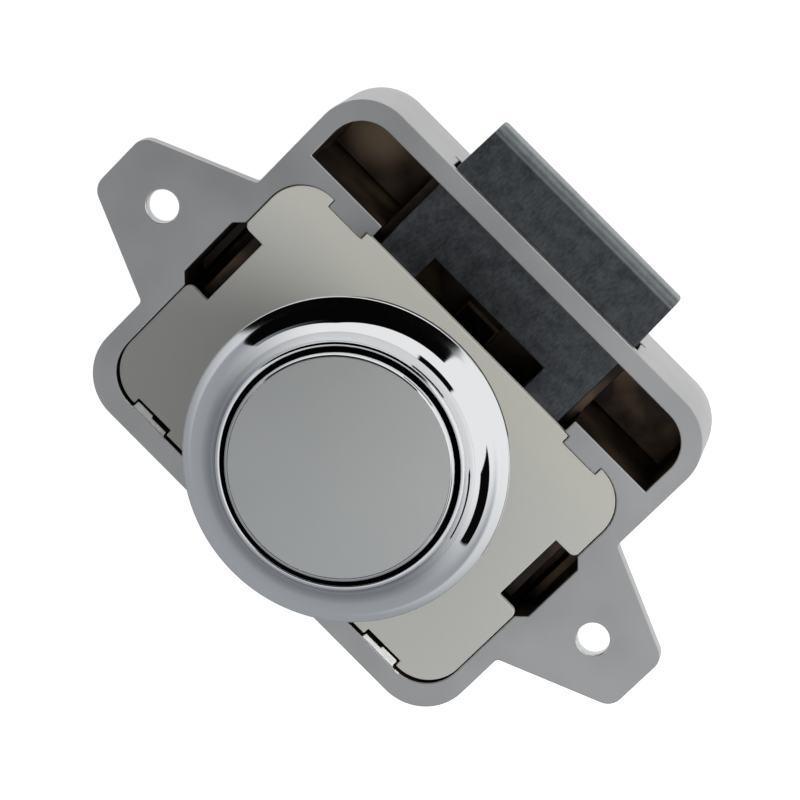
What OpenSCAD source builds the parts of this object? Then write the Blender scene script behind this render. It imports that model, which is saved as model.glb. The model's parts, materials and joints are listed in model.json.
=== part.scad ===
// Push-button furniture latch: a die-cast lock case with two screw ears, a sprung bolt, and a chrome
// knob that is pushed once to lock and once more to pop out and draw the bolt back.
// X runs along the two ear holes, Y is the way the bolt shoots, Z points to the knob. The origin lies
// midway between the ear holes, on the face that is screwed to the door, and on the knob's axis.

/* [Lock case] */
// Width of the case, along the line of the ear holes
case_w = 55.2; // [50:0.1:67]
// Reach of the case from the hole line, away from the bolt
case_heel = 21; // [20:0.1:26]
// Reach of the case from the hole line, to the wall that the bolt passes through
case_toe = 25.9; // [24.5:0.1:32]
// Depth of the case behind its mounting face
case_depth = 14.8; // [12.3:0.1:18]
// Width of the rim along the two sides
side_rim = 2.1; // [1.7:0.05:2.6]
// Width of the rim along the heel
heel_rim = 2.45; // [2:0.05:3]
// Width of the rim along the bolt's wall
toe_rim = 2.35; // [1.9:0.05:3]
// Thickness of the floor
floor_t = 1.3; // [1:0.1:2]
// Radius of the upright outer corners
case_corner_r = 6; // [5:0.1:7.5]
// Radius round the edges of the back
case_back_r = 3.6; // [2:0.1:4]
// Radius of the corners of the plate and of the well that it closes
well_r = 4.8; // [3.5:0.1:6]
// Radius of the outer corners of the two pockets beside the bolt
pocket_r = 4.2; // [3:0.1:5]

/* [Screw ears] */
// Distance of each ear hole from the side of the case
hole_out = 5.6; // [4.5:0.05:8]
// Diameter of each ear hole
hole_d = 3.64; // [3:0.02:4.4]
// Metal beyond the hole's centre, to the end of the ear
ear_end = 6.85; // [5:0.05:8.5]
// Width of an ear where it leaves the case
ear_root_w = 18.8; // [14:0.1:24]
// Width of an ear at its end, before its corners are rounded
ear_tip_w = 7.9; // [6:0.1:10]
// Radius of the corners at the end of an ear
ear_tip_r = 2; // [0.5:0.1:2.6]
// Radius of the hollow corner between an ear and the case
ear_root_r = 0.6; // [0.3:0.1:1.5]
// Thickness of the ears
ear_t = 1.7; // [1.2:0.1:2.5]

/* [Ribs and keys of the case] */
// Reach of the plate's well from the hole line, to the ribs
well_toe = 14.1; // [13.5:0.05:16]
// Thickness of the two ribs between the plate and the pockets
rib_t = 1.67; // [1.2:0.01:2.2]
// Gap between a rib's end and the side of the bolt
rib_gap = 1.1; // [0.6:0.05:1.6]
// Length of the keys on the ribs and on the heel wall
key_len = 4.8; // [3:0.1:6]
// Distance of each key from the rib's end
key_in = 0.75; // [0.4:0.05:2]
// Projection of the keys on the ribs
key_out = 1; // [0.6:0.05:1.5]
// Projection of the keys on the heel wall, at their outer part
heel_key_out = 0.75; // [0.5:0.05:1.2]
// Projection of their inner part
heel_key_step = 0.45; // [0.1:0.05:0.5]
// Length of their outer part
heel_key_len = 2.3; // [1:0.1:2.8]
// Depth of the keys on the heel wall below the rim
heel_key_sink = 0.35; // [0:0.05:0.6]
// Depth of the bay in each side wall
bay_in = 1.05; // [0.5:0.05:1.3]

/* [Carrier plate] */
// Thickness of the plate
plate_t = 0.95; // [0.8:0.05:1.5]
// Depth of the plate's face below the rim
plate_sink = 0.15; // [0:0.05:0.5]
// Gap along the sides of the plate and along the ribs
plate_gap = 0.1; // [0.05:0.01:0.2]
// Gap along the heel of the plate
heel_gap = 0.35; // [0.1:0.05:0.5]
// Length of the pry window at each end of the plate
window_len = 8.9; // [6:0.1:10.7]
// Middle of the pry windows, off the hole line
window_y = 0.4; // [-1:0.1:1]
// Width of each pry window
window_in = 2.8; // [1.5:0.1:3.4]
// Outer radius of the threaded tube
tube_r = 9.5; // [9:0.05:10.5]
// Wall of the tube
tube_wall = 1.5; // [1.2:0.05:1.8]

/* [Bolt] */
// Width of the bolt
bolt_w = 27.3; // [24:0.1:33]
// Width of the bolt at its nose
nose_w = 26.7; // [22:0.1:33]
// Thickness of the bolt
bolt_t = 4.1; // [3.6:0.1:4.8]
// Projection of the bolt from the case when locked
nose_out = 7.1; // [6:0.1:8.5]
// Play of the bolt in its slot, on each side
slot_play = 0.3; // [0.1:0.05:0.6]
// Width of the window in the bolt
bolt_window_w = 16.7; // [15.5:0.1:17.5]
// Metal between the bolt's window and the inside of the wall when locked
bolt_bridge = 6.45; // [4:0.05:7.5]
// Radius along the upper edge of the nose
nose_r = 1.3; // [0.5:0.1:1.5]
// Length of the closing bevel under the nose
bevel_len = 3.4; // [2:0.1:5]
// Height of the closing bevel under the nose
bevel_h = 2.2; // [1.5:0.1:2.4]

/* [Knob and rosette] */
// Thickness of the door that the latch is set for
door_t = 18; // [15:0.5:22]
// Radius of the knob
knob_r = 12.2; // [11.5:0.05:14.7]
// Gap between the knob and the collar round it
knob_gap = 0.4; // [0.2:0.05:0.6]
// Width of the rosette from the bore to its edge
rosette_band = 4.65; // [4:0.05:6]
// Thickness of the collar at its top
collar_t = 0.5; // [0.4:0.05:0.8]
// Height of the collar above the door
collar_h = 4.3; // [3.5:0.1:5]
// Height of the rosette's edge above the door
rim_h = 1.5; // [1.2:0.05:2]
// Wall of the sleeve that enters the door
sleeve_wall = 0.85; // [0.7:0.05:1.2]
// Height of the knob's face above the collar when locked
knob_proud = 0.7; // [0.2:0.1:1.5]
// Wall of the knob's skirt
knob_wall = 0.9; // [0.8:0.05:1.2]
// Width of the polished edge round the knob's satin face
knob_edge = 0.55; // [0.4:0.05:1.2]
// Radius of the stem
stem_r = 3; // [2.5:0.05:3.3]

/* [Travel] */
// Travel of the knob as it pops out, and of the bolt as it is drawn in
travel = 7; // [5.8:0.1:7.4]
// Extra travel of the knob as it is pushed, to trip its catch
trip = 0.8; // [0.3:0.1:1]

/* [Hidden] */
$fn = 96;

eps = 0.5;        // overshoot of a cut past the face that it opens
fit = 0.02;       // clearance of pieces that are pressed or screwed together
run = 0.05;       // clearance of a shaft that slides in a bore
slide = 0.1;      // clearance between flat faces that slide

// Case
case_x = case_w / 2;
well_x = case_x - side_rim;
well_heel = -(case_heel - heel_rim);
toe_in = case_toe - toe_rim;
floor_z = -(case_depth - floor_t);
hole_x = case_x + hole_out;
ear_x = hole_x + ear_end;
rib_toe = well_toe + rib_t;
key_play = 0.1;
key_h = 2;
key_end = 0.15;
post_w = 1.2;
post_y = 7;
shelf = [0.7, 0.9];
ledge_z = -4;
ledge_w = 2.2;
ledge_in = 0.8;
ledge_over = 0.4;
bay_z = -9;
bay_over = 0.45;

// Carrier plate
plate_z = -plate_sink;
plate_under = plate_z - plate_t;
plate_x = well_x - plate_gap;
plate_heel = well_heel + heel_gap;
plate_toe = well_toe - plate_gap / 2;
window_x = plate_x - window_in;
window_mouth_r = 0.8;
tube_foot = [1.2, 0.8];
bore_r = tube_r - tube_wall;
web_t = 1.2;

// Bolt
bolt_z = plate_under - slide;
bolt_under = bolt_z - bolt_t;
bolt_x = bolt_w / 2;
nose_tip = case_toe + nose_out;
bolt_tail = -9;
bolt_window_toe = toe_in - bolt_bridge;
rib_gate = bolt_x + rib_gap;
key_x = rib_gate + key_in;
slot_x = bolt_x + slot_play;
slot_slack = 0.15;
relief = 0.6;
tail_r = 0.3;
tail_corner_r = 0.8;
bevel_r = [0.8, 0.5];
nose_corner_r = 0.4;

// Rails that the bolt slides on
rail_w = 2.75;
rail_x = rib_gate - rail_w;
rail_heel = bolt_tail - travel;
rail_z = bolt_under - slide;

// Ramp that draws the bolt: a plane at 45 degrees, z = y + ramp_c, which makes both travels equal
shoulder_toe = 3.9;
ramp_c = bolt_z - shoulder_toe;
ramp_gap = 0.1;

// Carriage on the foot of the stem
carriage_top = bolt_z + 0.3;
carriage_bottom = floor_z + trip + 0.2;
carriage_toe = 4.5;
carriage_heel = -4.5;
cheek_x = 6.4;
hub_r = 4.2;
hub_slot_x = hub_r + 0.2;
hub_slot_heel = -(hub_r + trip + 0.5);
foot_r = 2;
foot_z = carriage_bottom + 1.5;
foot_play = 0.3;
pin_r = 0.75;
pin_z = carriage_bottom + 3;

// Catch: a bent wire whose tip runs in a track on the carriage
wire_r = 0.45;
wire_y = 6;
wire_foot_z = floor_z + 1.5;
wire_foot_end = 9.5;
track_w = 1.5;
track_depth = 1.2;
track_side = 2.4;
track_play = 0.15;
wire_tip_z = (carriage_bottom + carriage_top + travel - trip) / 2;
wire_tip_y = carriage_toe - track_depth + 0.35;
track_z = [wire_tip_z - travel - wire_r - track_play, wire_tip_z + trip + wire_r + track_play];
island_foot = [2.2, 2.9];
island_head = 0.2;
island_notch = [0.1, 0.7];
side_leg_foot = 1.1;
block_x = 2.5;
block_y = [7.3, 14.5];
block_z = floor_z + 3.1;
leaf_x = 2.2;
leaf_t = 0.3;
leaf_y = wire_y + wire_r + 0.15;
leaf_top = bolt_under - 0.7;
leaf_screw_y = 11.5;
leaf_screw_r = 0.8;
leaf_head_r = 1.7;
leaf_head_h = 1;
leaf_play = 0.1;
leaf_end = block_y[1] - 0.5;
screw_hole_z = floor_z + 0.6;
leaf_screw_z = floor_z + 0.9;
screw_slot = [2.2, 0.5, 0.6];

// Tube, and the stop that the carriage meets when the knob is out
web_z = carriage_top + travel + 0.2;
tube_top = door_t - 5;

// Rosette
bore_in = knob_r + knob_gap;
rosette_r = bore_in + rosette_band;
sleeve_r = bore_in + sleeve_wall;
sleeve_bottom = door_t - 7.8;
sleeve_floor_t = 2.1;
gasket_t = 0.4;
gasket_in = 0.85;
gasket_play = 0.15;
rosette_back = door_t + gasket_t;
rim_top = door_t + rim_h;
rim_r = 0.25;
collar_top = door_t + collar_h;
collar_edge = 0.15;
cove_r = 3.345;
cove_x = rosette_r - 0.85;
cove_z = rim_top - 0.15 + cove_r;

// Knob
knob_top = collar_top + knob_proud;
knob_roof = knob_top - 1.4;
knob_skirt = collar_top - 8.3;
edge_r = 0.45;
face_r = knob_r - knob_edge;
face_z = knob_top - 0.5;
face_t = 0.45;
face_bevel = 0.1;
boss_r = 5.2;
boss_z = knob_roof - 7.1;
stem_hole_top = knob_roof - 0.6;
stem_top = knob_roof - 1.1;
stem_tip = 0.4;
nut_t = 2.8;
nut_af = 10;

// Springs and their pins
knob_spring_r = 6.6;
knob_spring_wire = 0.45;
knob_spring_turns = 6;
washer_t = 0.4;
washer_play = 0.4;
bolt_spring_x = (bolt_window_w / 2 + bolt_x) / 2;
bolt_spring_z = bolt_z - bolt_t / 2;
bolt_spring_r = 1.13;
bolt_spring_wire = 0.18;
bolt_spring_turns = 12;
spring_bore_r = 1.5;
spring_bore_toe = 2;
spring_pin_r = 0.7;
spring_pin_in = 0.8;
spring_pin_end = bolt_tail + 0.5;
spring_pin_tip = [0.3, 0.4];

function unit(v) = v / norm(v);

// Rectangle with round corners that stay true arcs
module round_rect(x0, x1, y0, y1, r) {
    translate([x0 + r, y0]) square([x1 - x0 - 2 * r, y1 - y0]);
    translate([x0, y0 + r]) square([x1 - x0, y1 - y0 - 2 * r]);
    for (x = [x0 + r, x1 - r], y = [y0 + r, y1 - r]) translate([x, y]) circle(r);
}

// Convex outline whose corners each have their own radius, kept as true arcs
module round_poly(points, radii) {
    n = len(points);
    back = [for (i = [0:n - 1]) unit(points[(i + n - 1) % n] - points[i])];
    ahead = [for (i = [0:n - 1]) unit(points[(i + 1) % n] - points[i])];
    half = [for (i = [0:n - 1]) acos(back[i] * ahead[i]) / 2];
    polygon([for (i = [0:n - 1]) each radii[i] == 0 ? [points[i]]
             : [points[i] + back[i] * radii[i] / tan(half[i]), points[i] + ahead[i] * radii[i] / tan(half[i])]]);
    for (i = [0:n - 1]) if (radii[i] > 0)
        translate(points[i] + unit(back[i] + ahead[i]) * radii[i] / sin(half[i])) circle(radii[i]);
}

// Block with round upright corners and a rolled edge all round its back
module rolled_block(x0, x1, y0, y1, z0, z1, corner, roll) {
    translate([0, 0, z0 + roll]) linear_extrude(z1 - z0 - roll) round_rect(x0, x1, y0, y1, corner);
    translate([0, 0, z0]) linear_extrude(2 * roll)
        round_rect(x0 + roll, x1 - roll, y0 + roll, y1 - roll, corner - roll);
    for (y = [y0 + roll, y1 - roll]) translate([x0 + corner, y, z0 + roll]) rotate([0, 90, 0])
        cylinder(r = roll, h = x1 - x0 - 2 * corner);
    for (x = [x0 + roll, x1 - roll]) translate([x, y1 - corner, z0 + roll]) rotate([90, 0, 0])
        cylinder(r = roll, h = y1 - y0 - 2 * corner);
    for (x = [x0 + corner, x1 - corner], y = [y0 + corner, y1 - corner]) translate([x, y, z0])
        rotate_extrude() intersection() {
            union() {
                square([corner - roll, 2 * roll]);
                translate([corner - roll, roll]) circle(roll);
            }
            square([corner + 1, 2 * roll]);
        }
}

// Solid with its section in the Y-Z plane, centred on X
module along_x(width) {
    rotate([90, 0, 90]) translate([0, 0, -width / 2]) linear_extrude(width) children();
}

// The same thing on both sides of the middle
module both_sides() {
    for (turn = [0, 1]) mirror([turn, 0, 0]) children();
}

// Round wire bent at the given points
module bent_wire(points, r) {
    for (i = [0:len(points) - 2]) {
        step = points[i + 1] - points[i];
        translate(points[i]) rotate([0, acos(step.z / norm(step)), atan2(step.y, step.x)])
            cylinder(r = r, h = norm(step));
    }
    for (i = [1:len(points) - 2]) translate(points[i]) sphere(r);
}

// Coil spring on Z, from z = 0 up to the given length: a tube along a helix whose end turns close up
module coil_spring(coil_r, wire_r, length, turns, sides = 8, per_turn = 14) {
    steps = ceil(turns * per_turn);
    e = 0.9 / turns;
    ease = 0.35;
    lead = length - 2 * wire_r;
    climb = (1 - 2 * ease * e) / (1 - 2 * e);
    function rise(u) = wire_r + lead * (u < e ? ease * u * u / e : u > 1 - e ? 1 - ease * (1 - u) * (1 - u) / e
        : ease * e + (u - e) * climb);
    rings = [for (i = [0:steps]) [for (k = [0:sides - 1])
        let (a = 360 * turns * i / steps, b = 360 * k / sides, q = coil_r + wire_r * cos(b))
        [q * cos(a), q * sin(a), rise(i / steps) + wire_r * sin(b)]]];
    skin = [for (i = [0:steps - 1], k = [0:sides - 1]) let (m = (k + 1) % sides)
        [i * sides + k, (i + 1) * sides + k, (i + 1) * sides + m, i * sides + m]];
    polyhedron([for (ring = rings) each ring],
               concat([[for (k = [0:sides - 1]) k]], skin, [[for (k = [sides - 1:-1:0]) steps * sides + k]]));
}

// Outline of one ear, with a hollow corner on each side where it meets the case
module ear_outline() {
    slope = (ear_root_w - ear_tip_w) / 2 / (ear_x - case_x);
    hidden = side_rim / 2;
    root_w = ear_root_w + 2 * slope * hidden;
    round_poly([[case_x - hidden, -root_w / 2], [ear_x, -ear_tip_w / 2], [ear_x, ear_tip_w / 2],
                [case_x - hidden, root_w / 2]], [0, ear_tip_r, ear_tip_r, 0]);
    for (turn = [0, 1]) mirror([0, turn]) {
        corner = [case_x, ear_root_w / 2];
        edge = unit([1, -slope]);
        half = acos(edge * [0, 1]) / 2;
        centre = corner + unit(edge + [0, 1]) * ear_root_r / sin(half);
        difference() {
            polygon([corner - [hidden, hidden], corner + edge * ear_root_r / tan(half), centre,
                     corner + [0, ear_root_r / tan(half)], corner + [-hidden, ear_root_r / tan(half)]]);
            translate(centre) circle(ear_root_r);
        }
    }
}

// The well that the plate closes, the pockets beside the bolt, and the gate between the ribs
module case_wells() {
    round_rect(-well_x, well_x, well_heel, well_toe, well_r);
    intersection() {
        round_poly([[-well_x, 0], [well_x, 0], [well_x, toe_in], [-well_x, toe_in]],
                   [0, 0, pocket_r, pocket_r]);
        translate([-well_x, rib_toe]) square([2 * well_x, toe_in - rib_toe]);
    }
    translate([-rib_gate, well_toe - eps]) square([2 * rib_gate, rib_t + 2 * eps]);
}

// Bay in a side wall opposite the pry window, with its corners cut off
module wall_bay() {
    reach = window_len / 2 + bay_over;
    polygon([[well_x - eps, -reach], [well_x, -reach], [well_x + bay_in, bay_in - reach],
             [well_x + bay_in, reach - bay_in], [well_x, reach], [well_x - eps, reach]]);
}

// Keys that place the plate: flush with the rim on the ribs, a little lower on the heel wall
module plate_keys() both_sides() {
    translate([key_x, well_toe - key_out, plate_under - key_h])
        cube([key_len, key_out + rib_t / 2, key_h - plate_under]);
    heel_key_h = eps - heel_key_sink - floor_z;
    translate([key_x + key_play, well_heel - eps, floor_z - eps])
        cube([key_len - 2 * key_play, heel_key_step + eps, heel_key_h]);
    translate([key_x + key_len - key_play - heel_key_len, well_heel - eps, floor_z - eps])
        cube([heel_key_len, heel_key_out + eps, heel_key_h]);
}

// Posts that carry the plate at its corners and along the ribs
module plate_posts() both_sides() {
    for (y = [[well_heel + well_r, -post_y], [post_y, well_toe + rib_t / 2]])
        translate([well_x - post_w, y[0], floor_z - eps])
            cube([post_w + eps, y[1] - y[0], plate_under - floor_z + eps]);
    translate([rib_gate, well_toe - shelf.y, floor_z - eps])
        cube([shelf.x, shelf.y + rib_t / 2, plate_under - floor_z + eps]);
}

// Ledge under each pry window
module window_ledge() both_sides()
    translate([window_x - ledge_in, window_y - window_len / 2 - ledge_over, floor_z - eps])
        cube([ledge_w, window_len + 2 * ledge_over, ledge_z - floor_z + eps]);

// Rails that the bolt slides on, joined to the wall that it passes through
module bolt_rails() both_sides() translate([rail_x, rail_heel, floor_z - eps])
    cube([rail_w, toe_in - rail_heel + eps, rail_z - floor_z + eps]);

// Slot for the bolt, with a small relief at the foot of each end
module bolt_slot() {
    translate([-slot_x, toe_in - eps, bolt_under - slot_slack])
        cube([2 * slot_x, toe_rim + 2 * eps, bolt_t + 2 * slot_slack]);
    translate([-slot_x - relief, toe_in - eps, bolt_under])
        cube([2 * (slot_x + relief), toe_rim + 2 * eps, relief]);
}

// Block that holds the foot of the catch wire and the screw of its leaf
module wire_block() difference() {
    translate([-block_x, block_y[0], floor_z - eps])
        cube([2 * block_x, block_y[1] - block_y[0], block_z - floor_z + eps]);
    translate([0, block_y[0] - eps, wire_foot_z]) rotate([-90, 0, 0])
        cylinder(r = wire_r + run, h = wire_foot_end - block_y[0] + 2 * eps);
    translate([0, leaf_screw_y, screw_hole_z]) cylinder(r = leaf_screw_r + fit, h = block_z - floor_z);
}

module lock_case() color("#8a8b8f") difference() {
    union() {
        difference() {
            union() {
                rolled_block(-case_x, case_x, -case_heel, case_toe, -case_depth, 0, case_corner_r, case_back_r);
                both_sides() translate([0, 0, -ear_t]) linear_extrude(ear_t) ear_outline();
            }
            translate([0, 0, floor_z]) linear_extrude(eps - floor_z) case_wells();
            both_sides() translate([0, window_y, bay_z]) linear_extrude(eps - bay_z) wall_bay();
        }
        plate_keys();
        plate_posts();
        window_ledge();
        bolt_rails();
        wire_block();
    }
    bolt_slot();
    both_sides() translate([hole_x, 0, -ear_t - eps]) cylinder(d = hole_d, h = ear_t + 2 * eps);
    both_sides() translate([bolt_spring_x, well_heel - spring_pin_in, bolt_spring_z]) rotate([-90, 0, 0])
        cylinder(r = spring_pin_r + fit, h = spring_pin_in + eps);
}

// Outline of the plate, with a pry window at each end and a notch for each key
module plate_outline() difference() {
    round_rect(-plate_x, plate_x, plate_heel, plate_toe, well_r);
    both_sides() {
        translate([window_x, window_y - window_len / 2]) square([window_in + eps, window_len]);
        for (turn = [0, 1]) translate([0, window_y]) mirror([0, turn])
            translate([plate_x - window_mouth_r, window_len / 2]) difference() {
                translate([0, -eps]) square([window_mouth_r + eps, window_mouth_r + eps]);
                translate([0, window_mouth_r]) circle(window_mouth_r);
            }
        translate([key_x - key_play, well_toe - key_out - plate_gap / 2])
            square([key_len + 2 * key_play, key_out + eps]);
        translate([key_x - key_play, plate_heel - eps])
            square([key_len + 2 * key_play, heel_key_out - heel_gap + 2 * plate_gap + eps + key_end]);
    }
    circle(bore_r);
}

// Nylon plate with the tube that stands through the door; a web across the tube guides the stem
module carrier_plate() color("#b9bab2") {
    translate([0, 0, plate_under]) linear_extrude(plate_t) plate_outline();
    difference() {
        union() {
            translate([0, 0, plate_z - plate_t / 2]) cylinder(r = tube_r, h = tube_top - plate_z + plate_t / 2);
            translate([0, 0, plate_z - plate_t / 2])
                cylinder(r = tube_r + tube_foot.x, h = tube_foot.y + plate_t / 2);
        }
        translate([0, 0, plate_under - eps]) cylinder(r = bore_r, h = web_z - plate_under + eps);
        translate([0, 0, web_z + web_t]) cylinder(r = bore_r, h = tube_top);
        cylinder(r = stem_r + run, h = tube_top);
    }
}

// Lengthwise section of the bolt: flat faces, a round upper edge and the closing bevel under the nose
module bolt_section() {
    round_poly([[bolt_tail, bolt_under], [nose_tip - bevel_len, bolt_under], [nose_tip, bolt_under + bevel_h],
                [nose_tip, bolt_z], [bolt_tail, bolt_z]],
               [tail_r, bevel_r[0], bevel_r[1], nose_r, tail_r]);
}

module latch_bolt() color("#4d5052") difference() {
    intersection() {
        along_x(bolt_w) bolt_section();
        translate([0, 0, bolt_under - eps]) linear_extrude(bolt_t + 2 * eps)
            round_poly([[-bolt_x, bolt_tail], [bolt_x, bolt_tail], [bolt_x, toe_in], [nose_w / 2, nose_tip],
                        [-nose_w / 2, nose_tip], [-bolt_x, toe_in]],
                       [tail_corner_r, tail_corner_r, 0, nose_corner_r, nose_corner_r, 0]);
    }
    along_x(bolt_window_w) polygon([
        [bolt_z + eps - ramp_c, bolt_z + eps], [bolt_under - eps - ramp_c, bolt_under - eps],
        [bolt_window_toe, bolt_under - eps], [bolt_window_toe, bolt_z + eps]]);
    translate([-hub_slot_x, hub_slot_heel, bolt_under - eps])
        cube([2 * hub_slot_x, shoulder_toe - hub_slot_heel + eps, bolt_t + 2 * eps]);
    both_sides() translate([bolt_spring_x, bolt_tail - eps, bolt_spring_z]) rotate([-90, 0, 0])
        cylinder(r = spring_bore_r, h = spring_bore_toe - bolt_tail + eps);
}

module bolt_spring(side) translate([side * bolt_spring_x, well_heel, bolt_spring_z]) rotate([-90, 0, 0])
    coil_spring(bolt_spring_r, bolt_spring_wire, spring_bore_toe - well_heel, bolt_spring_turns, 6, 12);

// Pin that keeps a bolt spring straight, set into the heel wall
module spring_pin(side) translate([side * bolt_spring_x, well_heel - spring_pin_in, bolt_spring_z])
    rotate([-90, 0, 0]) {
        length = spring_pin_end - well_heel + spring_pin_in;
        cylinder(r = spring_pin_r, h = length - spring_pin_tip.y);
        translate([0, 0, length - spring_pin_tip.y])
            cylinder(r1 = spring_pin_r, r2 = spring_pin_r - spring_pin_tip.x, h = spring_pin_tip.y);
    }

module bolt_spring_left() color("#9b9da0") bolt_spring(-1);
module bolt_spring_right() color("#9b9da0") bolt_spring(1);
module spring_pin_left() color("#85878a") spring_pin(-1);
module spring_pin_right() color("#85878a") spring_pin(1);

// Section of the rosette: threaded floor, sleeve, flange with a rounded edge, cove, and collar
module rosette_section() difference() {
    union() {
        translate([tube_r + run, sleeve_bottom]) square([sleeve_r - tube_r - run, sleeve_floor_t]);
        translate([bore_in, sleeve_bottom]) square([sleeve_wall, rosette_back - sleeve_bottom + eps]);
        translate([bore_in, rosette_back]) square([rosette_band - rim_r, rim_top - rosette_back]);
        translate([bore_in, rosette_back + rim_r])
            square([rosette_band, rim_top - rosette_back - 2 * rim_r]);
        for (z = [rosette_back + rim_r, rim_top - rim_r]) translate([rosette_r - rim_r, z]) circle(rim_r);
        translate([bore_in, rosette_back]) square([cove_x - bore_in, collar_top - collar_edge - rosette_back]);
        translate([bore_in, rosette_back]) square([collar_t - collar_edge, collar_top - rosette_back]);
        translate([bore_in + collar_t - collar_edge, collar_top - collar_edge]) circle(collar_edge);
    }
    translate([cove_x, cove_z]) circle(cove_r);
}

module rosette() color("#c8cacd") rotate_extrude() rosette_section();

// Rubber ring between the rosette and the door
module rosette_gasket() color("#2a2a2b") translate([0, 0, door_t]) difference() {
    cylinder(r = rosette_r - gasket_in, h = gasket_t);
    translate([0, 0, -eps]) cylinder(r = sleeve_r + gasket_play, h = gasket_t + 2 * eps);
}

// Cup of the knob, with a boss for the stem and a shallow seat for its satin face
module knob_shell() color("#c8cacd") difference() {
    rotate_extrude() difference() {
        union() {
            translate([0, knob_skirt]) square([knob_r, knob_top - knob_skirt - edge_r]);
            translate([0, knob_top - edge_r]) square([knob_r - edge_r, edge_r]);
            translate([knob_r - edge_r, knob_top - edge_r]) circle(edge_r);
        }
        translate([boss_r, knob_skirt - eps]) square([knob_r - knob_wall - boss_r, knob_roof - knob_skirt + eps]);
        translate([0, knob_skirt - eps]) square([boss_r + eps, boss_z - knob_skirt + eps]);
        translate([0, face_z]) square([face_r + fit, knob_top - face_z + eps]);
    }
    translate([0, 0, boss_z - eps]) cylinder(r = stem_r + fit, h = stem_hole_top - boss_z + eps);
}

module knob_face() color("#929592") translate([0, 0, face_z]) {
    cylinder(r = face_r, h = face_t - face_bevel);
    translate([0, 0, face_t - face_bevel]) cylinder(r1 = face_r, r2 = face_r - face_bevel, h = face_bevel);
}

module knob_stem() color("#a5a6a6") difference() {
    union() {
        translate([0, 0, carriage_top]) cylinder(r = stem_r, h = stem_top - stem_tip - carriage_top);
        translate([0, 0, stem_top - stem_tip]) cylinder(r1 = stem_r, r2 = stem_r - stem_tip, h = stem_tip);
        translate([0, 0, foot_z]) cylinder(r = foot_r, h = carriage_top - foot_z + eps);
    }
    translate([0, 0, pin_z]) rotate([0, 90, 0]) cylinder(r = pin_r + fit, h = 3 * stem_r, center = true);
}

// Lock nut that holds the knob on the stem
module stem_nut() color("#b0aa90") translate([0, 0, boss_z - nut_t]) difference() {
    cylinder(d = nut_af / cos(30), h = nut_t, $fn = 6);
    translate([0, 0, -eps]) cylinder(r = stem_r + fit, h = nut_t + 2 * eps);
}

module knob_spring() color("#9b9da0") translate([0, 0, web_z + web_t + washer_t])
    coil_spring(knob_spring_r, knob_spring_wire, knob_roof - web_z - web_t - washer_t, knob_spring_turns);

module spring_washer() color("#9b9da0") translate([0, 0, web_z + web_t]) difference() {
    cylinder(r = bore_r - washer_play, h = washer_t);
    translate([0, 0, -eps]) cylinder(r = stem_r + washer_play, h = washer_t + 2 * eps);
}

// Track of the catch: a straight leg joined to a shorter side leg round an island with a notch
module catch_track() {
    low = track_z[0];
    high = track_z[1];
    difference() {
        translate([-track_w / 2, low]) square([track_side + track_w, high - low]);
        top = high - track_w;
        polygon([[track_w / 2, low + island_foot[0]], [track_side - track_w / 2, low + island_foot[1]],
                 [track_side - track_w / 2, top],
                 [track_side / 2 + island_notch.x, top - island_head - island_notch.y],
                 [track_w / 2, top - island_head]]);
        translate([track_w / 2, low - eps]) square([track_side + track_w, eps + side_leg_foot]);
    }
}

// Carriage on the foot of the stem: a hub between two cheeks whose sloping faces draw the bolt back
module cam_carriage() color("#d8d5c8") difference() {
    union() {
        translate([0, 0, carriage_bottom]) cylinder(r = hub_r, h = carriage_top - carriage_bottom);
        along_x(2 * cheek_x) polygon([
            [carriage_heel, carriage_bottom], [carriage_toe, carriage_bottom], [carriage_toe, carriage_top],
            [carriage_top - ramp_c + ramp_gap, carriage_top],
            [carriage_heel, carriage_heel + ramp_c - ramp_gap]]);
    }
    translate([0, 0, foot_z - foot_play])
        cylinder(r = foot_r + fit, h = carriage_top - foot_z + foot_play + eps);
    translate([0, 0, pin_z]) rotate([0, 90, 0]) cylinder(r = pin_r + fit, h = 4 * cheek_x, center = true);
    translate([0, carriage_toe + eps, 0]) rotate([90, 0, 0]) linear_extrude(track_depth + eps) catch_track();
}

module carriage_pin() color("#9b9da0") translate([0, 0, pin_z]) rotate([0, 90, 0])
    cylinder(r = pin_r, h = 2 * cheek_x, center = true);

// Catch wire: its foot turns in the block, its tip runs in the track
module cam_wire() color("#9b9da0") bent_wire([
    [0, wire_foot_end, wire_foot_z], [0, wire_y, wire_foot_z], [0, wire_y, wire_tip_z],
    [0, wire_tip_y, wire_tip_z]], wire_r);

// Spring leaf that keeps the wire's tip in the track
module wire_leaf() color("#9b9da0") difference() {
    union() {
        translate([-leaf_x, leaf_y, block_z]) cube([2 * leaf_x, leaf_end - leaf_y, leaf_t]);
        translate([-leaf_x, leaf_y, block_z]) cube([2 * leaf_x, leaf_t, leaf_top - block_z]);
    }
    translate([0, leaf_screw_y, block_z - eps]) cylinder(r = leaf_screw_r + leaf_play, h = leaf_t + 2 * eps);
}

module leaf_screw() color("#85878a") translate([0, leaf_screw_y, 0]) difference() {
    union() {
        translate([0, 0, leaf_screw_z]) cylinder(r = leaf_screw_r, h = block_z + leaf_t - leaf_screw_z);
        translate([0, 0, block_z + leaf_t]) cylinder(r = leaf_head_r, h = leaf_head_h);
    }
    for (turn = [0, 90]) rotate([0, 0, turn])
        translate([-screw_slot.x / 2, -screw_slot.y / 2, block_z + leaf_t + leaf_head_h - screw_slot.z])
            cube([screw_slot.x, screw_slot.y, screw_slot.z + eps]);
}

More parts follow.
